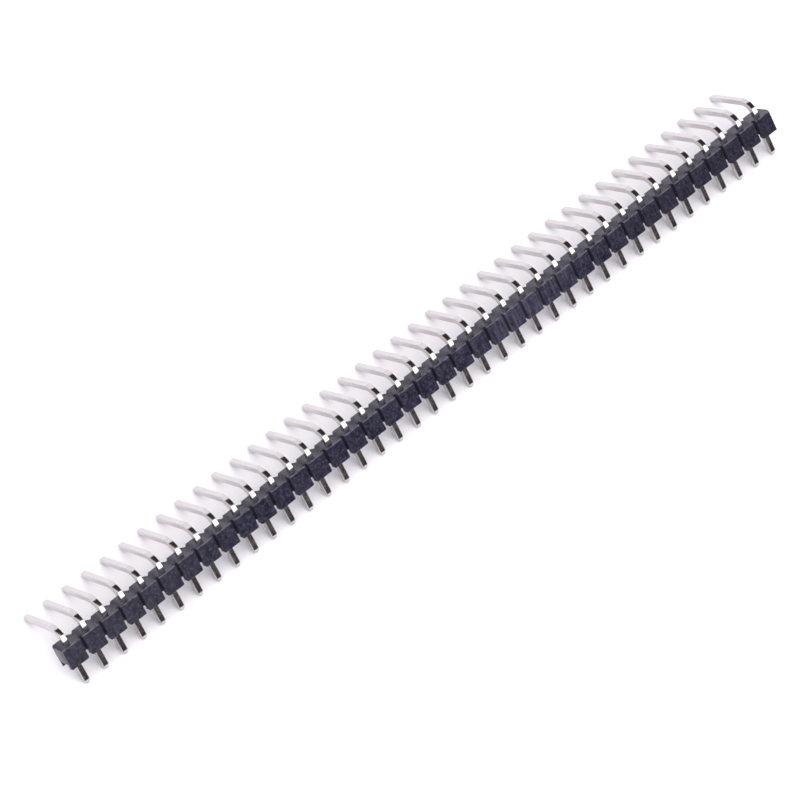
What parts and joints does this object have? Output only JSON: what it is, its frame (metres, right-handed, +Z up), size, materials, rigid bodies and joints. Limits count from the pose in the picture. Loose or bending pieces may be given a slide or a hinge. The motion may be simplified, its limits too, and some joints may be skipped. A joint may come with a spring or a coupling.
{
  "type": "pin header strip",
  "caption": "Single-row breakaway pin header, black moulded strip with square tinned pins: short straight tails on one side, long legs bent at a right angle on the other.",
  "frame": {"origin": "middle of the box round the part, on the table it rests on", "axes": "+X along the row of pins, +Z up from the table, +Y from the tips of the short tails towards the tips of the long legs"},
  "size_m": [0.1014, 0.01, 0.0047],
  "materials": {
    "black_plastic": "moulded black glass-filled plastic, satin with light scuffs",
    "tinned_pin": "bright tin plate over brass"
  },
  "bodies": {
    "root": {"housing": "black_plastic", "pin_01": "tinned_pin", "pin_02": "tinned_pin", "pin_03": "tinned_pin", "pin_04": "tinned_pin", "pin_05": "tinned_pin", "pin_06": "tinned_pin", "pin_07": "tinned_pin", "pin_08": "tinned_pin", "pin_09": "tinned_pin", "pin_10": "tinned_pin", "pin_11": "tinned_pin", "pin_12": "tinned_pin", "pin_13": "tinned_pin", "pin_14": "tinned_pin", "pin_15": "tinned_pin", "pin_16": "tinned_pin", "pin_17": "tinned_pin", "pin_18": "tinned_pin", "pin_19": "tinned_pin", "pin_20": "tinned_pin", "pin_21": "tinned_pin", "pin_22": "tinned_pin", "pin_23": "tinned_pin", "pin_24": "tinned_pin", "pin_25": "tinned_pin", "pin_26": "tinned_pin", "pin_27": "tinned_pin", "pin_28": "tinned_pin", "pin_29": "tinned_pin", "pin_30": "tinned_pin", "pin_31": "tinned_pin", "pin_32": "tinned_pin", "pin_33": "tinned_pin", "pin_34": "tinned_pin", "pin_35": "tinned_pin", "pin_36": "tinned_pin", "pin_37": "tinned_pin", "pin_38": "tinned_pin", "pin_39": "tinned_pin", "pin_40": "tinned_pin"}
  },
  "joints": []
}
